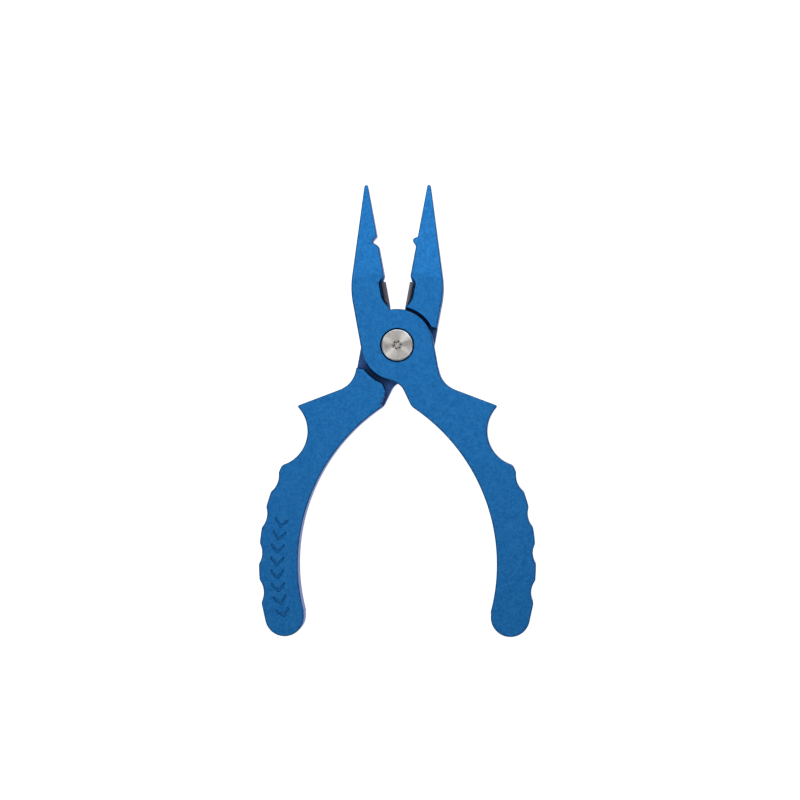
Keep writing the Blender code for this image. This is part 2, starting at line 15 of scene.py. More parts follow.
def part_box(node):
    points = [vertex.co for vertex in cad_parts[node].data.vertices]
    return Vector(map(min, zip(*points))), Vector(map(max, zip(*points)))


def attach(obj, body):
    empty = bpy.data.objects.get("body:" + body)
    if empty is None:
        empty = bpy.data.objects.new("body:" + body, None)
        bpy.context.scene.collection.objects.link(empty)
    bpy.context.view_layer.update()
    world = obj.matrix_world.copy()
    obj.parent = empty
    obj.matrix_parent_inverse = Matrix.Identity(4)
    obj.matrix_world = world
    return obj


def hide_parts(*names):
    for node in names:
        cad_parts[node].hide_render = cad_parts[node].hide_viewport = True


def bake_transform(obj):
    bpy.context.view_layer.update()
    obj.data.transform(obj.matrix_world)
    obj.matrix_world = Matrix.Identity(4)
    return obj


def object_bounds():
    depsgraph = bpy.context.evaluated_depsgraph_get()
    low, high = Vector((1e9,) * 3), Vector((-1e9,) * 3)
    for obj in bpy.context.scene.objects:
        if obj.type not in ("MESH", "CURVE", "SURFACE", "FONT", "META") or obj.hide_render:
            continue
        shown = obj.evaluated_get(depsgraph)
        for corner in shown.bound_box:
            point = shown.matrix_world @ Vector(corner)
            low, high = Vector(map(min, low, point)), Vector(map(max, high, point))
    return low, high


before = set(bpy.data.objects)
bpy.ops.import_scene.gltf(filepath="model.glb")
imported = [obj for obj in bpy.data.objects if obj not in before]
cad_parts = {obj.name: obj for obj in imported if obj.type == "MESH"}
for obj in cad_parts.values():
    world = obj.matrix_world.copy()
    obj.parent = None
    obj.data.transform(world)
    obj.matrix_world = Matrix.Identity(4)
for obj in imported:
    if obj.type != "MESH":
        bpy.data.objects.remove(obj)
cad_low, cad_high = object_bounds()

MM = 0.001


def node_box(node):
    """Lowest and highest corner of a CAD node, in millimetres."""
    low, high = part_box(node)
    return low / MM, high / MM


# Heights and radii read from the frame
THICKNESS = node_box("upper_half")[1].z
MIDDLE = THICKNESS / 2
HEAD_R = node_box("pivot_screw")[1].x
HEAD_TOP = node_box("pivot_screw")[1].z
SHANK_END = node_box("pivot_screw")[0].z
BARREL_TOP = node_box("pivot_barrel_nut")[1].z
WASHER_R = node_box("head_washer")[1].x
BUSH_R = node_box("upper_bush")[1].x
THRUST_R = node_box("thrust_washer")[1].x
WEB_TOP = node_box("upper_bush")[1].z
PIN_LOW = node_box("stop_pin")[0].z
PIN_HIGH = node_box("stop_pin")[1].z

# Whole tool, as in the CAD source
OPEN_DEG = 20.75
LAP_GAP = 0.3
GAP = 0.3

# Finish of the halves: rounded outer edges, chamfered pockets, and the steps that rounding takes
EDGE_ROUND = 0.42
RIM_CHAMFER = 0.2
ROUND_STEPS = 8
EDGE_STEPS = 5

# Shading: edges bent by more than this are sharp, and large flat faces outweigh the slivers beside them
SHARP_DEG = 32
FLAT_FACE_WEIGHT = 80

# Making shapes: how far a cut starts outside the face, plain or chamfered, the least divisor of an inset's
# mitre, which holds back its reach at sharp corners, and how near two points are to become one
CUT_PAST = 1.0
CHAMFER_PAST = 0.6
MITRE_LIMIT = 0.3
MERGE_DISTANCE = 0.0008

# Boss and jaw; a corner is (x, y) and how far its rounding reaches
BOSS_R = 12.0
TIP_Y = 54.3
TIP_REACH = 0.5
TIP_OUTER_X = -1.25
JAW_FACE_X = -0.2
SHOULDER_CORNER = (-BOSS_R, 20.97, 4.4)
THROAT_CORNER = (JAW_FACE_X, BOSS_R, 0.3)
CREASE_Y = 24.5
TIP_THICKNESS = 4.0
CREASE_BLEND = 0.7
CREASE_CUTS = (-1, -0.33, 0.33, 1)
TIP_EDGE_SHARE = 0.55

# Handle
ROOT_CORNER = (-1.0, -13.6, 1.6)
ROOT_LEAVES_BOSS_DEG = 252
PALM_CORNER = (1.0, -21.0, 1.2)
PALM_CENTRE = (-42.0, -66.2)
PALM_R = 62.4
PALM_TO_DEG = -25.1
PALM_STEP_DEG = 1.0
TOE_CENTRE = (20.64, -95.5)
TOE_R = 6.5
TOE_TO_DEG = 337.2
TOE_STEP_DEG = 5
HEEL_CORNER = (28.95, -92.5, 0.45)
BACK_CENTRE = (-38.4, -66.5)
BACK_R = 71.8
SCALLOPS = 4
SCALLOP_FIRST_DEG = 11.6
SCALLOP_PITCH_DEG = 9.755
SCALLOP_CENTRE_R = 77.6
SCALLOP_R = 6.8
SCALLOP_STEP_DEG = 5
SCALLOP_REACH = 0.5
CREST_FROM_DEG = 1.2
CREST_TO_DEG = 3.0
CREST_STEP_DEG = 0.6
BUMP_CORNER = (30.6, -46.2, 0.9)
FINGER_CENTRE = (35.7, -35.6)
FINGER_R = 11.68
FINGER_FROM_DEG = 239.7
FINGER_TO_DEG = 124.8
FINGER_STEP_DEG = 2.5
SPUR_CORNER = (29.2, -25.85, 1.0)
WAIST_CORNER = (BOSS_R, -15.5, 5.1)

# Lap: what is milled away below the boss so that the other half's boss fits there
LAP_JAW_R = 12.8
LAP_JAW_LEDGE_Y = 7.8
LAP_JAW_TO_DEG = 84
LAP_HANDLE_R = 13.6
LAP_HANDLE_LEDGE_Y = -9.8
LAP_HANDLE_TO_DEG = -78.5
LAP_ROOT_WALL = ((1.9, -14.4), (1.0, -15.7), (1.0, -17.2), (1.6, -20.2), (1.1, -22.0))
LAP_FAR = 20.0

# Crimping notch (upper half) and nub (lower half), in the jaw's face from the boss towards the tip
NOTCH = ((JAW_FACE_X, 33.08, 0.2), (-0.55, 33.8, 0.2), (-1.85, 34.95, 0.2), (-1.85, 35.55, 0.2),
         (JAW_FACE_X, 36.82, 0.3))
NUB = ((JAW_FACE_X, 33.4, 0.2), (1.1, 34.8, 0.3), (1.15, 35.75, 0.25), (0.1, 36.45, 0.12),
       (JAW_FACE_X, 36.6, 0.1))

# Cutter inserts, their pockets (open towards the other jaw, with sloping ends) and screws
POCKET = ((0.8, 24.1), (-2.25, 21.5, 0.8), (-2.25, 15.9, 1.6), (-0.25, 12.25), (0.8, 12.25))
SEAT_HALF_HEIGHT = 2.0
SEAT_LEAD_IN = ((0.6, 24.6), (-0.9, 21.7))
SEAT_GAP = 0.08
INSERT_HALF_HEIGHT = 3.1
INSERT_BACK_X = -1.57
INSERT_EDGE_X = -0.14
INSERT_BEVEL_X = -0.95
INSERT_EDGE_HALF_FLAT = 0.06
INSERT_RIM = 0.12
INSERT_TOP_Y = 21.5
INSERT_BOTTOM_Y = 12.0
INSERT_TRIM = ((0.3, INSERT_TOP_Y), (-1.0, INSERT_TOP_Y), (INSERT_BACK_X, 20.8), (INSERT_BACK_X, 16.2),
               (-1.3, 15.25), (0.3, 12.01))
INSERT_HOLE_FROM_X = -3.0
CUTTER_SCREW_Y = (16.3, 20.1)
CUTTER_SCREW_HEAD_X = -11.4
CUTTER_SCREW_HEAD_R = 1.4
CUTTER_SCREW_HEAD_RIM = 0.3
CUTTER_SCREW_HEAD_LENGTH = 1.0
CUTTER_SCREW_R = 0.75
CUTTER_SCREW_TIP_X = -1.1
CUTTER_SCREW_RIM = 0.12
CUTTER_SCREW_HOLE = (-14.0, -1.0)
SOCKET_R = 0.65
SOCKET_DEPTH = 0.65
SOCKET_SIDES = 6

# Pivot
HEAD_HEIGHT = 1.2
HEAD_RIM = ((0.0, 0.22), (0.05, 0.12), (0.13, 0.07), (0.40, 0.0))
HEAD_UNDER_RIM = 0.1
HEAD_FACE_INNER_R = 1.9
HEAD_HUB_R = 1.7
HEAD_HUB_DROP = 0.02
HEAD_TOOL_RINGS = 9
COUNTERBORE_R = 5.6
COUNTERBORE_RIM = 0.12
BUSH_BORE_R = 4.6
BARREL_R = 3.2
BARREL_RIM = 0.15
NUT_RIM = 0.3
NUT_FACE_INNER_R = 0.6
NUT_TOOL_RINGS = 8
SPANNER_HOLE_X = 3.2
SPANNER_HOLE_R = 0.7
SPANNER_HOLE_DEPTH = 0.7
HOLE_LEAD = 0.1
DRILL_POINT = 0.2
RING_RIM = 0.1
THREAD_R = 2.0
SHANK_R = 1.7
THREAD_PITCH = 0.5
THREAD_HEIGHT = 0.12
THREAD_ENDS = 0.3
RECESS_LOBES = 6
RECESS_STEPS = 96
RECESS_R = 1.22
RECESS_LOBE = 0.26
RECESS_DEPTH = 0.9
RECESS_TURN_DEG = 13
RECESS_FLOOR_RIM = 0.15
RECESS_LEAD_FOOT_R = 1.32
RECESS_LEAD_DEPTH = 0.22
RECESS_LEAD_HEIGHT = 0.5
THRUST_RECESS = 0.6
TOOL_RING_DEPTH = 0.012
TURN_SEGMENTS = 128
SMALL_SEGMENTS = 48

# Spring and stop
SPRING_R = 7.0
SPRING_WIRE = 0.8
SPRING_TURNS = 2.25
SPRING_PITCH = 1.2
SPRING_START_DEG = 250
SPRING_LEG = 6.5
SPRING_STEPS_PER_TURN = 60
SPRING_BEVEL_STEPS = 4
GROOVE_INNER_R = 6.3
GROOVE_OUTER_R = 7.7
GROOVE_DEPTH = 2.1
STOP_R = 9.8
STOP_AT_DEG = 190
STOP_SLOT_SPARE_DEG = 2
STOP_SLOT_STEP_DEG = 12
STOP_SLOT_DEPTH = 2.0
STOP_PIN_R = 0.8
STOP_PIN_RIM = 0.2

# Grooves milled in the left handle's top face: a plain row of chevrons
CHEVRONS = 8
CHEVRON_FIRST_DEG = 1.6
CHEVRON_PITCH_DEG = 3.55
CHEVRON_ARC_R = 69.3
CHEVRON_HALF_WIDTH = 2.1
CHEVRON_RISE = 1.5
CHEVRON_STROKE = 0.85
CHEVRON_DEPTH = 0.35
CHEVRON_REACH = 0.18
CHEVRON_ROUND_STEPS = 3
CHEVRON_LEVELS = ((-0.45, -0.4), (-0.05, 0.05), (0.1, CHEVRON_DEPTH))

# Camera, light and floor, in metres
VIEW_WIDTH = 0.2652
LENS = 135.0
SENSOR = 36.0
AIM = (0.00095, -0.01823, THICKNESS * MM)
CAMERA_LEAN_DEG = 2.6
OVERHEAD_PLACE = (-0.063, 0.025, 1.35)
OVERHEAD_SIZE = (1.8, 0.22)
OVERHEAD_TURNS_DEG = (42, -28)
OVERHEAD_POWER = 2.5
JAW_LIGHT_PLACE = (0.01, 0.30, 0.62)
JAW_LIGHT_SIZE = (0.5, 0.3)
JAW_LIGHT_POWER = 1.1
LIGHT_AIM = (0, -0.02, 0)
ROOM_RISE = (0.05, 0.95)
ROOM_AT_EYE_LEVEL = 0.09
ROOM_OVERHEAD = 0.3
BACKDROP = 0.95
FLOOR_HALF = 3.0
FLOOR_GAP = 0.0001
FLOOR_GLOW = 0.9


# ---------------------------------------------------------------- outlines

def arc(centre, radius, start, end, step=2.0):
    """Points on an arc from start to end, in degrees, both ends included."""
    count = max(1, round(abs(end - start) / step))
    angles = [radians(start + (end - start) * i / count) for i in range(count + 1)]
    return [(centre[0] + radius * cos(a), centre[1] + radius * sin(a)) for a in angles]


def walk(points, index, direction, distance):
    """The point this far along a closed outline from one of its corners, and the corners passed."""
    passed = []
    here = index
    while True:
        ahead = (here + direction) % len(points)
        span = (points[ahead] - points[here]).length
        if distance <= span:
            return points[here].lerp(points[ahead], distance / span), passed
        distance -= span
        here = ahead
        passed.append(here)


def soften(path, steps=ROUND_STEPS):
    """Closed outline from (x, y) points and (x, y, reach) corners, which are rounded that far each way."""
    points = [Vector(p[:2]) for p in path]
    curves = {}
    swallowed = set()
    for index, corner in enumerate(path):
        if len(corner) < 3:
            continue
        start, before = walk(points, index, -1, corner[2])
        end, after = walk(points, index, 1, corner[2])
        swallowed.update(before + after)
        control = points[index]
        curves[index] = [start.lerp(control, t).lerp(control.lerp(end, t), t)
                         for t in (i / steps for i in range(steps + 1))]
    outline = []
    for index, point in enumerate(points):
        if index not in swallowed:
            outline += curves.get(index, [point])
    return [(p.x, p.y) for p in outline]


def scallop(centre_deg):
    """One shallow finger scallop in the handle's back, from its lower end to its upper end."""
    a = radians(centre_deg)
    centre = (BACK_CENTRE[0] + SCALLOP_CENTRE_R * cos(a), BACK_CENTRE[1] + SCALLOP_CENTRE_R * sin(a))
    spread = (SCALLOP_CENTRE_R ** 2 + SCALLOP_R ** 2 - BACK_R ** 2) / (2 * SCALLOP_CENTRE_R * SCALLOP_R)
    half = degrees(acos(spread))
    return arc(centre, SCALLOP_R, centre_deg + 180 + half, centre_deg + 180 - half, SCALLOP_STEP_DEG)


def back_edge():
    """The handle's back from the heel up to the bump above the first scallop, with its scallops."""
    edge = []
    for number in reversed(range(SCALLOPS)):
        curve = scallop(SCALLOP_FIRST_DEG - SCALLOP_PITCH_DEG * number)
        edge.append(curve[0] + (SCALLOP_REACH,))
        edge += curve[1:-1]
        edge.append(curve[-1] + (SCALLOP_REACH,))
        if number:
            top = degrees(atan2(curve[-1][1] - BACK_CENTRE[1], curve[-1][0] - BACK_CENTRE[0]))
            edge += arc(BACK_CENTRE, BACK_R, top + CREST_FROM_DEG, top + CREST_TO_DEG, CREST_STEP_DEG)
    return edge


def half_outline(jaw_feature):
    """One half seen from above with the jaws shut, anticlockwise from the jaw tip's outer corner."""
    path = [(TIP_OUTER_X, TIP_Y, TIP_REACH), SHOULDER_CORNER]
    path += arc((0, 0), BOSS_R, 180, ROOT_LEAVES_BOSS_DEG)
    path += [ROOT_CORNER, PALM_CORNER]
    palm_from = degrees(atan2(PALM_CORNER[1] - PALM_CENTRE[1], PALM_CORNER[0] - PALM_CENTRE[0]))
    path += arc(PALM_CENTRE, PALM_R, palm_from, PALM_TO_DEG, PALM_STEP_DEG)[1:]
    path += arc(TOE_CENTRE, TOE_R, 180 + PALM_TO_DEG, TOE_TO_DEG, TOE_STEP_DEG)[1:]
    path.append(HEEL_CORNER)
    path += back_edge()
    path.append(BUMP_CORNER)
    path += arc(FINGER_CENTRE, FINGER_R, FINGER_FROM_DEG, FINGER_TO_DEG, FINGER_STEP_DEG)
    path += [SPUR_CORNER, WAIST_CORNER]
    path += arc((0, 0), BOSS_R, 0, 90)[:-1]
    path.append(THROAT_CORNER)
    path += jaw_feature
    path.append((JAW_FACE_X, TIP_Y, TIP_REACH))
    return soften(path)


def lap_outline():
    """Plan of what is milled below the boss: past the jaw's shoulder, round the right, to the handle."""
    ledge = degrees(atan2(LAP_JAW_LEDGE_Y, -(LAP_JAW_R ** 2 - LAP_JAW_LEDGE_Y ** 2) ** 0.5))
    handle_out = (LAP_HANDLE_R ** 2 - LAP_HANDLE_LEDGE_Y ** 2) ** 0.5
    handle_from = degrees(atan2(LAP_HANDLE_LEDGE_Y, handle_out))
    outline = [(-LAP_FAR, LAP_JAW_LEDGE_Y)]
    outline += arc((0, 0), LAP_JAW_R, ledge, LAP_JAW_TO_DEG)
    outline += [(LAP_FAR, LAP_JAW_R), (LAP_FAR, LAP_HANDLE_LEDGE_Y)]
    outline += arc((0, 0), LAP_HANDLE_R, handle_from, LAP_HANDLE_TO_DEG)
    outline += LAP_ROOT_WALL
    outline.append((-LAP_FAR, LAP_ROOT_WALL[-1][1]))
    return outline


def seat_outline():
    """Plan of the insert's seat at mid-height: a close fit round it, and a lead-in past its upper end."""
    return list(SEAT_LEAD_IN) + inset(INSERT_TRIM, -SEAT_GAP)[1:]


def star_outline():
    """Six-lobed drive recess."""
    outline = []
    for i in range(RECESS_STEPS):
        angle = 2 * pi * i / RECESS_STEPS
        radius = RECESS_R + RECESS_LOBE * cos(RECESS_LOBES * angle)
        turn = angle + radians(RECESS_TURN_DEG)
        outline.append((radius * cos(turn), radius * sin(turn)))
    return outline


def chevron_outline(centre_deg):
    """One chevron groove, its point towards the handle's end."""
    outline = []
    for across, along in ((-1, 0), (0, 1), (1, 0), (1, -1), (0, 0), (-1, -1)):
        radius = CHEVRON_ARC_R + across * CHEVRON_HALF_WIDTH
        down = CHEVRON_RISE * (1 - abs(across)) - CHEVRON_STROKE * (across != 0 and along < 0)
        down += CHEVRON_STROKE * (across == 0 and along > 0)
        turn = radians(centre_deg) - down / CHEVRON_ARC_R
        x = PALM_CENTRE[0] + radius * cos(turn)
        y = PALM_CENTRE[1] + radius * sin(turn)
        outline.append((x, y, CHEVRON_REACH))
    return soften(outline, CHEVRON_ROUND_STEPS)


def on_stop_circle(angle_deg):
    """The point at this angle on the circle that the stop pin stands on."""
    return STOP_R * cos(radians(angle_deg)), STOP_R * sin(radians(angle_deg))


def stop_pin_centre():
    """Where the stop pin stands, in the world's plan."""
    return on_stop_circle(STOP_AT_DEG - OPEN_DEG / 2) + (0,)


def stop_slot_outline():
    """Curved slot that the stop pin runs in, in the upper half's own frame."""
    opened = STOP_AT_DEG - OPEN_DEG
    closed = STOP_AT_DEG + STOP_SLOT_SPARE_DEG
    reach = STOP_PIN_R + GAP
    outline = arc((0, 0), STOP_R + reach, opened, closed)
    outline += arc(on_stop_circle(closed), reach, closed, closed + 180, STOP_SLOT_STEP_DEG)
    outline += arc((0, 0), STOP_R - reach, closed, opened)
    outline += arc(on_stop_circle(opened), reach, opened + 180, opened + 360, STOP_SLOT_STEP_DEG)
    return outline


def coil_point(turns):
    """Where the spring's wire is after this many turns, as a direction from the pivot, and the wire's own."""
    angle = radians(SPRING_START_DEG) + 2 * pi * turns
    out = Vector((cos(angle), sin(angle)))
    return out, Vector((-out.y, out.x))


def leg_outline(turns, direction):
    """Plan of the straight slot for a spring leg that leaves the coil along its tangent."""
    out, tangent = coil_point(turns)
    tangent *= direction
    half = SPRING_WIRE / 2 + GAP
    near = out * SPRING_R
    far = near + tangent * (SPRING_LEG + GAP)
    return [tuple(p) for p in (near - out * half, far - out * half, far + out * half, near + out * half)]


# ---------------------------------------------------------------- meshes

def anticlockwise(outline):
    """The outline's points, turned round if they run clockwise."""
    area = sum(a[0] * b[1] - b[0] * a[1] for a, b in zip(outline, outline[1:] + outline[:1]))
    return list(outline) if area > 0 else list(outline)[::-1]


def inset(outline, distance):
    """The outline moved in by a distance, or by a function of each point, with the folds closed up.

    Neighbours that have changed places after the move lie in a fold. They meet in the middle, as one run of
    points, and runs grow until none is folded with the next.
    """
    points = [Vector(p[:2]) for p in outline]
    moved = []
    count = len(points)
    for index, here in enumerate(points):
        back = (here - points[index - 1]).normalized()
        ahead = (points[(index + 1) % count] - here).normalized()
        mitre = Vector((-back.y - ahead.y, back.x + ahead.x)) / max(MITRE_LIMIT, 1 + back.dot(ahead))
        moved.append(here + mitre * (distance(here) if callable(distance) else distance))
    runs = [[index] for index in range(count)]
    place = 0
    settled = 0
    while settled < len(runs):
        here, after = runs[place - 1], runs[place]
        if (moved[after[0]] - moved[here[-1]]).dot(points[after[0]] - points[here[-1]]) < 0:
            here += after
            meet = sum((moved[index] for index in here), Vector((0, 0))) / len(here)
            for index in here:
                moved[index] = meet
            del runs[place]
            place = (place - 1) % len(runs)
            settled = 0
        else:
            place = (place + 1) % len(runs)
            settled += 1
    return [tuple(p) for p in moved]


def thinned(y, z):
    """Height of a point on a half after its jaw is thinned towards the tip, past a blended crease."""
    slope = (1 - TIP_THICKNESS / THICKNESS) / (TIP_Y - CREASE_Y)
    past = y - CREASE_Y
    if past < -CREASE_BLEND:
        run = 0.0
    elif past < CREASE_BLEND:
        run = (past + CREASE_BLEND) ** 2 / (4 * CREASE_BLEND)
    else:
        run = past
    return MIDDLE + (z - MIDDLE) * (1 - slope * run)


def finished(name, bm, matrix=Matrix.Identity(4)):
    """Turn a millimetre bmesh into an object in metres in the row frame."""
    bmesh.ops.remove_doubles(bm, verts=bm.verts, dist=MERGE_DISTANCE)
    bmesh.ops.recalc_face_normals(bm, faces=bm.faces)
    mesh = bpy.data.meshes.new(name)
    bm.to_mesh(mesh)
    bm.free()
    mesh.transform(Matrix.Scale(MM, 4) @ matrix)
    obj = bpy.data.objects.new(name, mesh)
    bpy.context.scene.collection.objects.link(obj)
    return obj


def stack(bm, rings):
    """Join rings of points, from the bottom up, into one closed body with flat ends."""
    loops = [[bm.verts.new(p) for p in ring] for ring in rings]
    count = len(loops[0])
    for low, high in zip(loops, loops[1:]):
        for i in range(count):
            j = (i + 1) % count
            bm.faces.new((low[i], low[j], high[j], high[i]))
    bm.faces.new(loops[0][::-1])
    bm.faces.new(loops[-1])


def layered(name, outline, levels, matrix=Matrix.Identity(4)):
    """Upright body over a plan outline from (inset, height) levels, from the bottom up."""
    outline = anticlockwise(outline)
    bm = bmesh.new()
    stack(bm, [[(x, y, z) for x, y in inset(outline, distance)] for distance, z in levels])
    return finished(name, bm, matrix)


def slab(name, outline, low, high, matrix=Matrix.Identity(4)):
    """Plain upright prism over a plan outline."""
    return layered(name, outline, ((0, low), (0, high)), matrix)


def prism_along_y(name, profile, low, high, matrix):
    """Prism along Y over a profile of (x, z) points."""
    bm = bmesh.new()
    stack(bm, [[(x, y, z) for x, z in profile] for y in (low, high)])
    return finished(name, bm, matrix)


def turned(name, profile, centre=(0, 0, 0), segments=TURN_SEGMENTS, along_x=False, matrix=Matrix.Identity(4)):
    """Solid of revolution from a closed profile of (radius, height) points, about Z or X."""
    bm = bmesh.new()
    rings = []
    for radius, height in profile:
        angles = [2 * pi * i / segments for i in range(segments)] if radius else [0.0]
        rings.append([bm.verts.new((radius * cos(a), radius * sin(a), height)) for a in angles])
    for ring, following in zip(rings, rings[1:] + rings[:1]):
        if len(ring) == 1 and len(following) == 1:
            continue
        for i in range(segments):
            j = (i + 1) % segments
            corners = [ring[i % len(ring)], ring[j % len(ring)],
                       following[j % len(following)], following[i % len(following)]]
            bm.faces.new(list(dict.fromkeys(corners)))
    if along_x:
        for vert in bm.verts:
            vert.co = Vector((vert.co.z, vert.co.x, vert.co.y))
    bmesh.ops.translate(bm, vec=centre, verts=bm.verts)
    return finished(name, bm, matrix)


def turned_across(name, profile, y, matrix, segments=SMALL_SEGMENTS):
    """Solid of revolution about the line along X at this Y and at mid-height, in a half's own frame."""
    return turned(name, profile, (0, y, MIDDLE), segments, along_x=True, matrix=matrix)


def drilled_profile(radius, depth, face):
    """Profile of a hole drilled up from a face at this height, with a broken mouth and a drill point."""
    outside = face - CUT_PAST
    return [(0, outside), (radius + HOLE_LEAD + CUT_PAST, outside), (radius, face + HOLE_LEAD),
            (radius, face + depth), (0, face + depth + DRILL_POINT)]


def boolean(obj, tool, operation="DIFFERENCE"):
    """Cut, join or trim a piece with a tool, which is used up."""
    modifier = obj.modifiers.new(tool.name, "BOOLEAN")
    modifier.operation = operation
    modifier.solver = "EXACT"
    modifier.object = tool
    depsgraph = bpy.context.evaluated_depsgraph_get()
    mesh = bpy.data.meshes.new_from_object(obj.evaluated_get(depsgraph))
    obj.modifiers.clear()
    obj.data = mesh
    mesh.name = obj.name
    bpy.data.objects.remove(tool, do_unlink=True)


def shown(piece, body, node, material):
    """Last steps for every piece: clean shading, its material, and its place on the CAD model.

    A piece given no body is attached to none and stays where it is drawn.
    """
    mesh = piece.data
    mesh.shade_smooth()
    mesh.set_sharp_from_angle(angle=radians(SHARP_DEG))
    mesh.materials.clear()
    mesh.materials.append(material)
    weighted = piece.modifiers.new("even_flats", "WEIGHTED_NORMAL")
    weighted.keep_sharp = True
    weighted.weight = FLAT_FACE_WEIGHT
    if body:
        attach(piece, body)
    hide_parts(node)
    return piece


# ---------------------------------------------------------------- the two halves

UPPER = Matrix.Rotation(radians(OPEN_DEG / 2), 4, "Z")
LOWER = Matrix.Translation((0, 0, THICKNESS)) @ Euler((0, pi, -radians(OPEN_DEG / 2))).to_matrix().to_4x4()


def edge_levels():
    """Levels of a plate with quarter-round edges: an inset as a share of the edge's radius, and a height."""
    quarter = [radians(90 * i / EDGE_STEPS) for i in range(EDGE_STEPS + 1)]
    low = [(1 - sin(a), EDGE_ROUND * (1 - cos(a))) for a in quarter]
    return low + [(share, THICKNESS - height) for share, height in reversed(low)]


def edge_radius(point):
    """Edges are rounded less where the jaw gets narrow."""
    along = min(1.0, max(0.0, (point.y - CREASE_Y) / (TIP_Y - CREASE_Y)))
    return EDGE_ROUND * (1 - along * (1 - TIP_EDGE_SHARE))


def half_body(name, jaw_feature, matrix):
    """One half before its pockets are cut."""
    outline = half_outline(jaw_feature)
    bm = bmesh.new()
    rings = []
    for share, z in edge_levels():
        ring = inset(outline, lambda point: share * edge_radius(point))
        rings.append([(x, y, z) for x, y in ring])
    stack(bm, rings)
    for share in CREASE_CUTS:
        bmesh.ops.bisect_plane(bm, geom=bm.verts[:] + bm.edges[:] + bm.faces[:],
                               plane_co=(0, CREASE_Y + share * CREASE_BLEND, 0), plane_no=(0, 1, 0))
    for vert in bm.verts:
        vert.co.z = thinned(vert.co.y, vert.co.z)
    return finished(name, bm, matrix)


def pivot_cutter(matrix):
    """Everything turned into a half round the pivot: spring groove, thrust recess, bore, counterbore."""
    below = MIDDLE - CUT_PAST
    groove = MIDDLE + GROOVE_DEPTH
    recess = MIDDLE + THRUST_RECESS
    above = THICKNESS + CUT_PAST
    profile = [(0, below), (GROOVE_OUTER_R, below), (GROOVE_OUTER_R, groove), (GROOVE_INNER_R, groove),
               (GROOVE_INNER_R, recess), (BUSH_BORE_R, recess), (BUSH_BORE_R, WEB_TOP),
               (COUNTERBORE_R, WEB_TOP), (COUNTERBORE_R, THICKNESS - COUNTERBORE_RIM),
               (COUNTERBORE_R + COUNTERBORE_RIM + CUT_PAST, above), (0, above)]
    return turned("cut_pivot", profile, matrix=matrix)


def screw_clearance(y, matrix):
    """Hole for a cutter screw, from outside the jaw to its pocket."""
    head = CUTTER_SCREW_HEAD_R + GAP
    shank = CUTTER_SCREW_R + GAP
    outside, inside = CUTTER_SCREW_HOLE
    seat = CUTTER_SCREW_HEAD_X + GAP
    profile = [(0, outside), (head, outside), (head, seat), (shank, seat + CUTTER_SCREW_HEAD_LENGTH),
               (shank, inside), (0, inside)]
    return turned_across("cut_screw", profile, y, matrix)


def cut_half(half, matrix):
    """Cuts that both halves have."""
    wide = -RIM_CHAMFER - CHAMFER_PAST
    lap = ((wide, -CHAMFER_PAST), (0, RIM_CHAMFER), (0, MIDDLE + LAP_GAP / 2))
    boolean(half, layered("cut_lap", lap_outline(), lap, matrix))
    boolean(half, pivot_cutter(matrix))
    boolean(half, slab("cut_seat", seat_outline(), -CUT_PAST, THICKNESS + CUT_PAST, matrix))
    top = ((0, MIDDLE + SEAT_HALF_HEIGHT), (0, THICKNESS - RIM_CHAMFER), (wide, THICKNESS + CHAMFER_PAST))
    bottom = ((wide, -CHAMFER_PAST), (0, RIM_CHAMFER), (0, MIDDLE - SEAT_HALF_HEIGHT))
    for levels in (top, bottom):
        boolean(half, layered("cut_pocket", soften(POCKET), levels, matrix))
    for y in CUTTER_SCREW_Y:
        boolean(half, screw_clearance(y, matrix))


def upper_half():
    """Left jaw, upper boss and right handle, with the notch, the stop slot and a spring leg's slot."""
    half = half_body("upper_half_milled", NOTCH, UPPER)
    cut_half(half, UPPER)
    below = MIDDLE - CUT_PAST
    boolean(half, slab("cut_stop_slot", stop_slot_outline(), below, MIDDLE + STOP_SLOT_DEPTH, UPPER))
    boolean(half, slab("cut_leg", leg_outline(SPRING_TURNS, 1), below, MIDDLE + GROOVE_DEPTH))
    return half


def lower_half():
    """Right jaw, lower boss and left handle, with the nub, the pin's hole and the plain grooves."""
    half = half_body("lower_half_milled", NUB, LOWER)
    cut_half(half, LOWER)
    floor = PIN_LOW - GAP
    above = MIDDLE + CUT_PAST
    hole = [(0, floor), (STOP_PIN_R + GAP, floor), (STOP_PIN_R + GAP, above), (0, above)]
    boolean(half, turned("cut_pin_hole", hole, stop_pin_centre(), SMALL_SEGMENTS))
    boolean(half, slab("cut_leg", leg_outline(0, -1), MIDDLE - GROOVE_DEPTH, above))
    for number in range(CHEVRONS):
        outline = chevron_outline(CHEVRON_FIRST_DEG - CHEVRON_PITCH_DEG * number)
        boolean(half, layered("cut_chevron", outline, CHEVRON_LEVELS, LOWER))
    return half


# ---------------------------------------------------------------- cutters and their screws

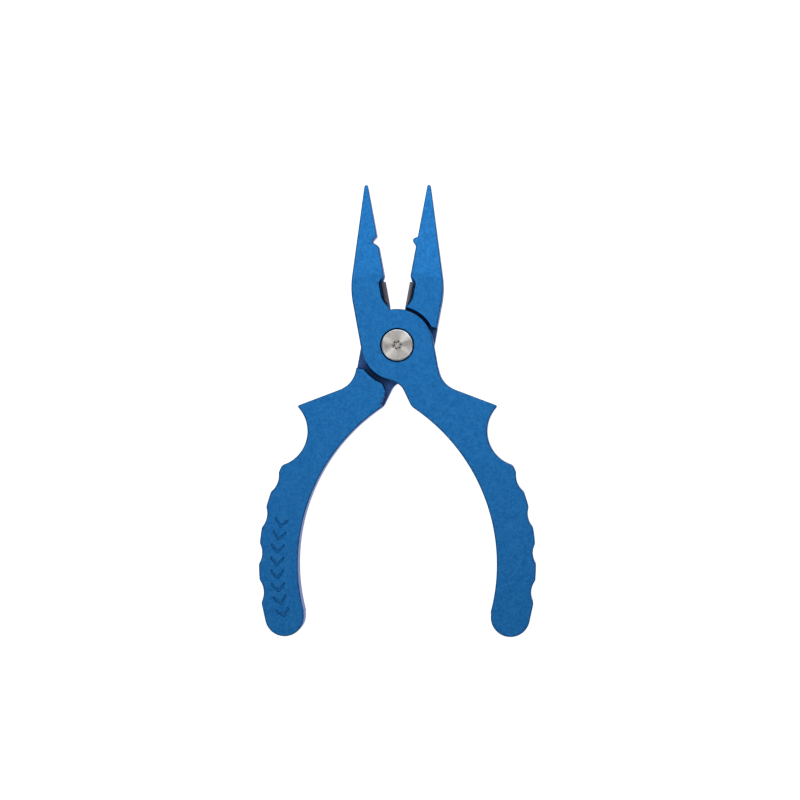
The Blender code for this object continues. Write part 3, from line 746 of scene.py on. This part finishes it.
def cutter_insert(name, matrix):
    """Wedge with its edge at mid-height, trimmed to the plan of its pocket."""
    high = INSERT_HALF_HEIGHT
    flat = INSERT_EDGE_HALF_FLAT
    back = INSERT_BACK_X
    profile = [(back + INSERT_RIM, MIDDLE - high), (INSERT_BEVEL_X, MIDDLE - high),
               (INSERT_EDGE_X, MIDDLE - flat), (INSERT_EDGE_X, MIDDLE + flat),
               (INSERT_BEVEL_X, MIDDLE + high), (back + INSERT_RIM, MIDDLE + high),
               (back, MIDDLE + high - INSERT_RIM), (back, MIDDLE - high + INSERT_RIM)]
    insert = prism_along_y(name, profile, INSERT_BOTTOM_Y - CUT_PAST, INSERT_TOP_Y + CUT_PAST, matrix)
    boolean(insert, slab("trim_insert", INSERT_TRIM, -CUT_PAST, THICKNESS + CUT_PAST, matrix), "INTERSECT")
    radius = CUTTER_SCREW_R + GAP
    end = CUTTER_SCREW_TIP_X + GAP
    hole = [(0, INSERT_HOLE_FROM_X), (radius, INSERT_HOLE_FROM_X), (radius, end), (0, end)]
    for y in CUTTER_SCREW_Y:
        boolean(insert, turned_across("cut_insert", hole, y, matrix))
    return insert


def cutter_screw(name, y, matrix):
    """Small countersunk screw along X with a broken rim and a hexagonal socket that ends in a drill point."""
    head = CUTTER_SCREW_HEAD_X
    tip = CUTTER_SCREW_TIP_X
    rim = CUTTER_SCREW_RIM
    profile = [(0, head), (CUTTER_SCREW_HEAD_R - rim, head), (CUTTER_SCREW_HEAD_R, head + rim),
               (CUTTER_SCREW_HEAD_R, head + CUTTER_SCREW_HEAD_RIM),
               (CUTTER_SCREW_R, head + CUTTER_SCREW_HEAD_LENGTH),
               (CUTTER_SCREW_R, tip - rim), (CUTTER_SCREW_R - rim, tip), (0, tip)]
    screw = turned_across(name, profile, y, matrix)
    socket = drilled_profile(SOCKET_R, SOCKET_DEPTH, head)
    boolean(screw, turned_across("cut_socket", socket, y, matrix, SOCKET_SIDES))
    return screw


# ---------------------------------------------------------------- pivot, bearings, spring and stop

def turned_face(outer, inner, height, rings, depth):
    """Profile points of a faced end, from its rim inwards, with shallow concentric tool rings."""
    points = []
    for i in range(rings * 2 + 1):
        radius = outer + (inner - outer) * i / (rings * 2)
        points.append((radius, height - depth * (i % 2)))
    return points


def pivot_screw():
    """Head with a chamfered rim, a faced top and a six-lobed recess, and a threaded shank."""
    head_bottom = HEAD_TOP - HEAD_HEIGHT
    hub = HEAD_TOP - HEAD_HUB_DROP
    teeth = int((BARREL_TOP - SHANK_END - 2 * THREAD_ENDS) / THREAD_PITCH)
    profile = [(0, SHANK_END), (SHANK_R - THREAD_ENDS, SHANK_END)]
    for tooth in range(teeth):
        low = SHANK_END + THREAD_ENDS + tooth * THREAD_PITCH
        profile += [(SHANK_R - THREAD_HEIGHT, low), (SHANK_R, low + THREAD_PITCH / 2)]
    profile += [(SHANK_R - THREAD_HEIGHT, BARREL_TOP - THREAD_ENDS), (SHANK_R, BARREL_TOP),
                (SHANK_R, head_bottom), (HEAD_R - HEAD_UNDER_RIM, head_bottom),
                (HEAD_R, head_bottom + HEAD_UNDER_RIM)]
    profile += [(HEAD_R - inward, HEAD_TOP - down) for inward, down in HEAD_RIM]
    face_outer = HEAD_R - HEAD_RIM[-1][0] - HEAD_UNDER_RIM
    profile += turned_face(face_outer, HEAD_FACE_INNER_R, HEAD_TOP, HEAD_TOOL_RINGS, TOOL_RING_DEPTH)
    profile += [(HEAD_HUB_R, hub), (0, hub)]
    screw = turned("pivot_screw_turned", profile)
    low = HEAD_TOP - RECESS_LEAD_DEPTH
    high = low + RECESS_LEAD_HEIGHT
    lead = [(0, low), (RECESS_LEAD_FOOT_R, low), (RECESS_LEAD_FOOT_R + RECESS_LEAD_HEIGHT, high), (0, high)]
    boolean(screw, turned("cut_lead", lead))
    deep = HEAD_TOP - RECESS_DEPTH
    star = ((RECESS_FLOOR_RIM, deep), (0, deep + RECESS_FLOOR_RIM), (0, HEAD_TOP + CUT_PAST))
    boolean(screw, layered("cut_star", star_outline(), star))
    return screw


def barrel_nut():
    """Barrel with a faced flange flush with the bottom face, and two spanner holes beside its centre."""
    flange = THICKNESS - HEAD_TOP + HEAD_HEIGHT
    face = turned_face(HEAD_R - NUT_RIM, NUT_FACE_INNER_R, 0, NUT_TOOL_RINGS, -TOOL_RING_DEPTH)
    profile = [(0, 0)] + face[::-1]
    profile += [(HEAD_R, NUT_RIM), (HEAD_R, flange), (BARREL_R, flange), (BARREL_R, BARREL_TOP - BARREL_RIM),
                (BARREL_R - BARREL_RIM, BARREL_TOP), (THREAD_R + BARREL_RIM, BARREL_TOP),
                (THREAD_R, BARREL_TOP - BARREL_RIM), (THREAD_R, SHANK_END - GAP), (0, SHANK_END - GAP)]
    nut = turned("barrel_nut_turned", profile)
    hole = drilled_profile(SPANNER_HOLE_R, SPANNER_HOLE_DEPTH, 0)
    for x in (-SPANNER_HOLE_X, SPANNER_HOLE_X):
        boolean(nut, turned("cut_spanner_hole", hole, (x, 0, 0), SMALL_SEGMENTS))
    return nut


def ring(name, inner, outer, low, high):
    """Washer or sleeve on the pivot with broken edges."""
    rim = min(RING_RIM, (high - low) / 4)
    return turned(name, [(inner + rim, low), (outer - rim, low), (outer, low + rim), (outer, high - rim),
                         (outer - rim, high), (inner + rim, high), (inner, high - rim), (inner, low + rim)])


def opening_spring():
    """Torsion spring: round wire wound upwards, with a straight leg along the tangent at each end."""
    count = round(SPRING_TURNS * SPRING_STEPS_PER_TURN)
    rise = SPRING_PITCH * SPRING_TURNS
    route = []
    for i in range(count + 1):
        out, tangent = coil_point(SPRING_TURNS * i / count)
        route.append((out * SPRING_R).to_3d() + Vector((0, 0, MIDDLE - rise / 2 + rise * i / count)))
        if i == 0:
            route.insert(0, route[0] - tangent.to_3d() * SPRING_LEG)
    route.append(route[-1] + tangent.to_3d() * SPRING_LEG)
    curve = bpy.data.curves.new("spring_wire", "CURVE")
    curve.dimensions = "3D"
    curve.bevel_depth = SPRING_WIRE / 2 * MM
    curve.bevel_resolution = SPRING_BEVEL_STEPS
    curve.use_fill_caps = True
    spline = curve.splines.new("POLY")
    spline.points.add(len(route) - 1)
    for point, place_at in zip(spline.points, route):
        point.co = (place_at.x * MM, place_at.y * MM, place_at.z * MM, 1)
    guide = bpy.data.objects.new("spring_wire", curve)
    bpy.context.scene.collection.objects.link(guide)
    bm = bmesh.new()
    bm.from_mesh(bpy.data.meshes.new_from_object(guide.evaluated_get(bpy.context.evaluated_depsgraph_get())))
    bpy.data.objects.remove(guide, do_unlink=True)
    bmesh.ops.scale(bm, vec=(1 / MM, 1 / MM, 1 / MM), verts=bm.verts)
    return finished("opening_spring_wound", bm)


def stop_pin():
    """Ground dowel with broken ends."""
    rim = STOP_PIN_RIM
    profile = [(0, PIN_LOW), (STOP_PIN_R - rim, PIN_LOW), (STOP_PIN_R, PIN_LOW + rim),
               (STOP_PIN_R, PIN_HIGH - rim), (STOP_PIN_R - rim, PIN_HIGH), (0, PIN_HIGH)]
    return turned("stop_pin_ground", profile, stop_pin_centre(), SMALL_SEGMENTS)


# ---------------------------------------------------------------- materials

class Nodes:
    """Short way to build a procedural material: each call adds a node and returns what it gives."""

    def __init__(self, name):
        self.material = bpy.data.materials.new(name)
        self.material.use_nodes = True
        self.tree = self.material.node_tree
        self.shader = self.tree.nodes["Principled BSDF"]

    def put(self, socket, value):
        if isinstance(value, bpy.types.NodeSocket):
            self.tree.links.new(value, socket)
        else:
            socket.default_value = value

    def add(self, kind, inputs=(), **settings):
        node = self.tree.nodes.new(kind)
        for key, value in settings.items():
            setattr(node, key, value)
        for key, value in dict(inputs).items():
            self.put(node.inputs[key], value)
        return node

    def place(self, stretch=(1, 1, 1)):
        """Object coordinates in millimetres, stretched for directional marks."""
        where = self.add("ShaderNodeTexCoord").outputs["Object"]
        scale = tuple(1 / MM / s for s in stretch)
        return self.add("ShaderNodeMapping", {"Vector": where, "Scale": scale}).outputs["Vector"]

    def noise(self, size, stretch=(1, 1, 1), detail=3.0, rough=0.55):
        """Noise from 0 to 1 whose features are about this many millimetres across."""
        inputs = {"Vector": self.place(stretch), "Scale": 1 / size, "Detail": detail, "Roughness": rough}
        return self.add("ShaderNodeTexNoise", inputs).outputs["Fac"]

    def span(self, value, low, high, new_low=0.0, new_high=1.0):
        """Value mapped from one range to another, and held inside it."""
        inputs = {"Value": value, "From Min": low, "From Max": high, "To Min": new_low, "To Max": new_high}
        return self.add("ShaderNodeMapRange", inputs).outputs["Result"]

    def maths(self, operation, a, b):
        node = self.add("ShaderNodeMath", operation=operation)
        self.put(node.inputs[0], a)
        self.put(node.inputs[1], b)
        return node.outputs[0]

    def mix(self, share, a, b):
        node = self.add("ShaderNodeMix", data_type="RGBA")
        self.put(node.inputs["Factor"], share)
        self.put(node.inputs["A"], a if isinstance(a, bpy.types.NodeSocket) else (*a, 1))
        self.put(node.inputs["B"], b if isinstance(b, bpy.types.NodeSocket) else (*b, 1))
        return node.outputs["Result"]

    def bump(self, height, distance, strength=1.0, under=None):
        """Fine relief of this many millimetres, over another relief if one is given."""
        inputs = {"Height": height, "Distance": distance * MM, "Strength": strength}
        if under is not None:
            inputs["Normal"] = under
        return self.add("ShaderNodeBump", inputs).outputs["Normal"]

    def upward(self, coordinates):
        """The Z part of the surface's normal, or of its place."""
        where = self.add("ShaderNodeTexCoord").outputs[coordinates]
        return self.add("ShaderNodeSeparateXYZ", {"Vector": where}).outputs["Z"]

    def level(self):
        """1 on level faces and 0 on walls."""
        return self.maths("ABSOLUTE", self.upward("Normal"), 0.0)

    def edges(self, flat=0.985, sloping=0.9):
        """1 on rounded edges and chamfers, and 0 on walls and on faces more level than `flat`."""
        level = self.level()
        return self.maths("MULTIPLY", self.span(level, flat, sloping), self.span(level, 0.25, 0.6))

    def lap(self):
        """1 on the sliding faces of the lap joint, which lie level at mid-height, and 0 elsewhere: a mask for
        painted shade.
        """
        away = self.maths("ABSOLUTE", self.maths("SUBTRACT", self.upward("Object"), MIDDLE * MM), 0.0)
        near = self.span(away, LAP_GAP * 2 * MM, LAP_GAP * MM)
        return self.maths("MULTIPLY", near, self.span(self.level(), 0.6, 0.9))

    def gaps(self, reach, closed, clear):
        """1 deep in narrow gaps and 0 on open surfaces, from how much is walled in within this reach: a mask
        for painted shade.
        """
        node = self.add("ShaderNodeAmbientOcclusion", {"Distance": reach * MM}, samples=8)
        return self.span(node.outputs["AO"], clear, closed)

    def finish(self, colour, roughness, metallic, normal=None, **constants):
        self.put(self.shader.inputs["Base Color"], colour)
        self.put(self.shader.inputs["Roughness"], roughness)
        self.put(self.shader.inputs["Metallic"], metallic)
        if normal is not None:
            self.put(self.shader.inputs["Normal"], normal)
        for key, value in constants.items():
            self.shader.inputs[key.replace("_", " ")].default_value = value
        return self.material


def blue_anodised():
    """Bead-blasted aluminium dyed blue: fine grain, uneven dye, paler worn edges, and painted shade in the
    gaps and on the lap's level faces.
    """
    n = Nodes("blue_anodised")
    dye = n.span(n.noise(5.0, detail=5.0, rough=0.6), 0.3, 0.7)
    colour = n.mix(dye, (0.0030, 0.105, 0.340), (0.0056, 0.131, 0.380))
    speck = n.span(n.noise(0.8, detail=3.0, rough=0.8), 0.38, 0.62)
    colour = n.mix(n.maths("MULTIPLY", speck, 0.7), colour, (0.028, 0.20, 0.50))
    worn = n.maths("MULTIPLY", n.edges(), n.span(n.noise(0.5, detail=4.0), 0.35, 0.65, 0.05, 0.4))
    colour = n.mix(worn, colour, (0.11, 0.27, 0.50))
    # Painted shade: the lap's level faces, seen deep in the gaps beside the boss, are darkened to navy by a
    # noisy share.
    lap_shade = n.maths("MULTIPLY", n.lap(), n.span(n.noise(1.2, detail=4.0), 0.3, 0.7, 0.6, 0.8))
    colour = n.mix(lap_shade, colour, (0.030, 0.035, 0.120))
    # Painted shade: faces walled in within 4 mm are darkened to deep navy, and made rougher.
    gap_shade = n.gaps(reach=4.0, closed=0.16, clear=0.50)
    colour = n.mix(gap_shade, colour, (0.004, 0.035, 0.13))
    rough = n.span(n.noise(1.6, detail=4.0), 0.3, 0.7, 0.37, 0.45)
    roughness = n.maths("ADD", rough, n.maths("MULTIPLY", gap_shade, 0.35))
    blast = n.bump(n.noise(0.14, detail=2.0), 0.016, 0.6)
    return n.finish(colour, roughness, 0.95, n.bump(n.noise(0.6), 0.018, 0.5, blast),
                    Coat_Weight=0.06, Coat_Roughness=0.35, Specular_Tint=(0.80, 0.62, 0.66, 1))


def turned_stainless():
    """Faced on a lathe: close concentric marks about the pivot, which spread highlights along the radius, a
    painted highlight on the rim chamfers, and painted shade in the recesses.
    """
    n = Nodes("stainless")
    rings = {"Vector": n.place(), "Scale": 0.42, "Distortion": 0.8, "Detail": 3.0, "Detail Scale": 3.0}
    marks = n.add("ShaderNodeTexWave", rings, wave_type="RINGS", rings_direction="Z").outputs["Fac"]
    stain = n.span(n.noise(1.6, detail=5.0), 0.35, 0.7)
    colour = n.mix(stain, (0.40, 0.385, 0.365), (0.52, 0.51, 0.495))
    colour = n.mix(n.maths("MULTIPLY", marks, 0.4), colour, (0.30, 0.27, 0.245))
    # Painted highlight: the rim's sloping chamfers get a pale bluish colour, so they shine as a bright ring.
    painted_rim_highlight = n.edges(flat=0.996, sloping=0.975)
    # Painted shade: faces walled in within 1.2 mm, as in the drive recess, darken almost to black, except on
    # the painted rim highlight.
    gap_shade = n.gaps(reach=1.2, closed=0.35, clear=0.85)
    gap_shade = n.maths("MULTIPLY", gap_shade, n.maths("SUBTRACT", 1.0, painted_rim_highlight))
    colour = n.mix(painted_rim_highlight, n.mix(gap_shade, colour, (0.02, 0.017, 0.015)), (0.74, 0.78, 0.85))
    rough = n.span(n.noise(0.5, detail=3.0), 0.3, 0.7, 0.28, 0.36)
    round_z = n.add("ShaderNodeTangent", direction_type="RADIAL", axis="Z").outputs["Tangent"]
    n.put(n.shader.inputs["Tangent"], round_z)
    return n.finish(colour, rough, 1.0, n.bump(marks, 0.004, 0.5),
                    Anisotropic=0.95, Anisotropic_Rotation=0.25)


def ground_carbide():
    """Dark carbide with grinding lines along the edge, and painted shade where it is walled in by its pocket.
    """
    n = Nodes("cutter_steel")
    lines = n.noise(0.25, stretch=(1, 12, 1), detail=3.0)
    colour = n.mix(n.noise(1.2), (0.030, 0.026, 0.034), (0.050, 0.045, 0.055))
    colour = n.mix(n.span(lines, 0.45, 0.65, 0.0, 0.45), colour, (0.15, 0.14, 0.16))
    # Painted shade: the insert darkens almost to black where the pocket's walls close round it.
    colour = n.mix(n.gaps(reach=2.0, closed=0.15, clear=0.5), colour, (0.003, 0.004, 0.010))
    return n.finish(colour, n.span(lines, 0.3, 0.7, 0.26, 0.4), 1.0, n.bump(lines, 0.006, 0.6),
                    Specular_Tint=(0.60, 0.57, 0.66, 1))


def black_oxide():
    """Black oxide on small steel screws, with specks of bare steel."""
    n = Nodes("black_screws")
    worn = n.span(n.noise(0.25, detail=5.0), 0.6, 0.72, 0.0, 0.6)
    colour = n.mix(worn, (0.020, 0.020, 0.023), (0.14, 0.135, 0.13))
    rough = n.span(n.noise(0.3), 0.3, 0.7, 0.34, 0.5)
    return n.finish(colour, rough, 0.85, n.bump(n.noise(0.06), 0.004, 0.5))


def bearing_bronze():
    """Sintered bronze: fine open pores and uneven oil staining."""
    n = Nodes("bronze")
    pores = n.span(n.noise(0.1, detail=2.0), 0.32, 0.42)
    colour = n.mix(n.noise(1.0, detail=4.0), (0.42, 0.23, 0.075), (0.56, 0.34, 0.13))
    colour = n.mix(pores, (0.10, 0.055, 0.02), colour)
    return n.finish(colour, n.span(n.noise(0.6), 0.3, 0.7, 0.3, 0.45), 1.0, n.bump(pores, 0.01, 0.5))


def drawn_wire():
    """Hard-drawn spring wire with fine die lines and a faint straw tint."""
    n = Nodes("spring_steel")
    lines = n.noise(0.06, stretch=(1, 1, 6), detail=2.0)
    colour = n.mix(n.noise(1.5), (0.42, 0.41, 0.39), (0.52, 0.49, 0.44))
    return n.finish(colour, n.span(lines, 0.3, 0.7, 0.22, 0.36), 1.0, n.bump(lines, 0.004, 0.4))


# ---------------------------------------------------------------- setting

def pale_floor():
    """Large plain white table top, level with the plane that the pliers lie on."""
    bm = bmesh.new()
    bmesh.ops.create_grid(bm, x_segments=1, y_segments=1, size=FLOOR_HALF)
    mesh = bpy.data.meshes.new("floor")
    bm.to_mesh(mesh)
    bm.free()
    floor = bpy.data.objects.new("floor", mesh)
    floor.location.z = cad_low.z - FLOOR_GAP
    bpy.context.scene.collection.objects.link(floor)
    n = Nodes("white_table")
    tone = n.mix(n.noise(40.0), (0.90, 0.90, 0.90), (0.92, 0.92, 0.92))
    mesh.materials.append(n.finish(tone, 0.7, 0.0, Emission_Color=(1, 1, 1, 1), Emission_Strength=FLOOR_GLOW))


def area_light(name, place, size, power, turn_deg=0):
    """Soft rectangular light aimed at the pliers and turned about its own axis, unseen by the camera."""
    data = bpy.data.lights.new(name, "AREA")
    data.shape = "RECTANGLE"
    data.size, data.size_y = size
    data.energy = power
    light = bpy.data.objects.new(name, data)
    light.location = place
    aim = Vector((0, 0, -1)).rotation_difference(Vector(LIGHT_AIM) - Vector(place))
    light.rotation_euler = (aim @ Euler((0, 0, radians(turn_deg))).to_quaternion()).to_euler()
    light.visible_camera = False
    bpy.context.scene.collection.objects.link(light)


def studio():
    """Two crossed strip lights overhead, one towards the jaws, and a pale room that darkens at eye level."""
    for number, turn_deg in enumerate(OVERHEAD_TURNS_DEG, 1):
        area_light(f"overhead_light_{number}", OVERHEAD_PLACE, OVERHEAD_SIZE, OVERHEAD_POWER, turn_deg)
    area_light("jaw_side_light", JAW_LIGHT_PLACE, JAW_LIGHT_SIZE, JAW_LIGHT_POWER)
    world = bpy.data.worlds.new("studio")
    world.use_nodes = True
    bpy.context.scene.world = world
    tree = world.node_tree
    background = tree.nodes["Background"]
    where = tree.nodes.new("ShaderNodeTexCoord").outputs["Generated"]
    split = tree.nodes.new("ShaderNodeSeparateXYZ")
    tree.links.new(where, split.inputs["Vector"])
    ramp = tree.nodes.new("ShaderNodeMapRange")
    ramp.inputs["From Min"].default_value, ramp.inputs["From Max"].default_value = ROOM_RISE
    ramp.inputs["To Min"].default_value = ROOM_AT_EYE_LEVEL
    ramp.inputs["To Max"].default_value = ROOM_OVERHEAD
    tree.links.new(split.outputs["Z"], ramp.inputs["Value"])
    seen = tree.nodes.new("ShaderNodeLightPath").outputs["Is Camera Ray"]
    pick = tree.nodes.new("ShaderNodeMix")
    pick.inputs["B"].default_value = BACKDROP
    tree.links.new(seen, pick.inputs["Factor"])
    tree.links.new(ramp.outputs["Result"], pick.inputs["A"])
    tree.links.new(pick.outputs["Result"], background.inputs["Strength"])
    bpy.context.scene.view_settings.view_transform = "Standard"


def camera():
    """Long lens straight above the pliers, leaning a little to the right."""
    data = bpy.data.cameras.new("camera")
    data.lens = LENS
    data.sensor_width = SENSOR
    distance = VIEW_WIDTH / 2 / (SENSOR / 2 / LENS)
    lean = radians(CAMERA_LEAN_DEG)
    obj = bpy.data.objects.new("camera", data)
    obj.location = Vector(AIM) + Vector((sin(lean), 0, cos(lean))) * distance
    obj.rotation_euler = (0, lean, 0)
    bpy.context.scene.collection.objects.link(obj)
    bpy.context.scene.camera = obj


def main():
    """The setting, and every piece in the place of its CAD node."""
    camera()
    studio()
    pale_floor()
    blue = blue_anodised()
    carbide = ground_carbide()
    black = black_oxide()
    bronze = bearing_bronze()
    stainless = turned_stainless()
    wire = drawn_wire()
    shown(upper_half(), "upper_lever", "upper_half", blue)
    shown(lower_half(), "lower_lever", "lower_half", blue)
    for side, body, matrix in (("left", "upper_lever", UPPER), ("right", "lower_lever", LOWER)):
        insert = cutter_insert(f"{side}_cutter_ground", matrix)
        shown(insert, body, f"{side}_cutter_insert", carbide)
        for number, y in enumerate(CUTTER_SCREW_Y, 1):
            node = f"{side}_cutter_screw_{number}"
            shown(cutter_screw(node + "_turned", y, matrix), body, node, black)
    shown(pivot_screw(), "lower_lever", "pivot_screw", stainless)
    shown(barrel_nut(), "lower_lever", "pivot_barrel_nut", stainless)
    inner = BARREL_R + GAP
    rings = (("head_washer", "lower_lever", WASHER_R, "stainless", stainless),
             ("nut_washer", "lower_lever", WASHER_R, "stainless", stainless),
             ("upper_bush", "upper_lever", BUSH_R, "bronze", bronze),
             ("lower_bush", "lower_lever", BUSH_R, "bronze", bronze),
             ("thrust_washer", "lower_lever", THRUST_R, "bronze", bronze))
    for node, body, outer, slot, material in rings:
        low, high = node_box(node)
        shown(ring(node + "_turned", inner, outer, low.z, high.z), body, node, material)
    spring = shown(opening_spring(), None, "opening_spring", wire)
    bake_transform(spring)
    shown(stop_pin(), "lower_lever", "stop_pin", stainless)


main()
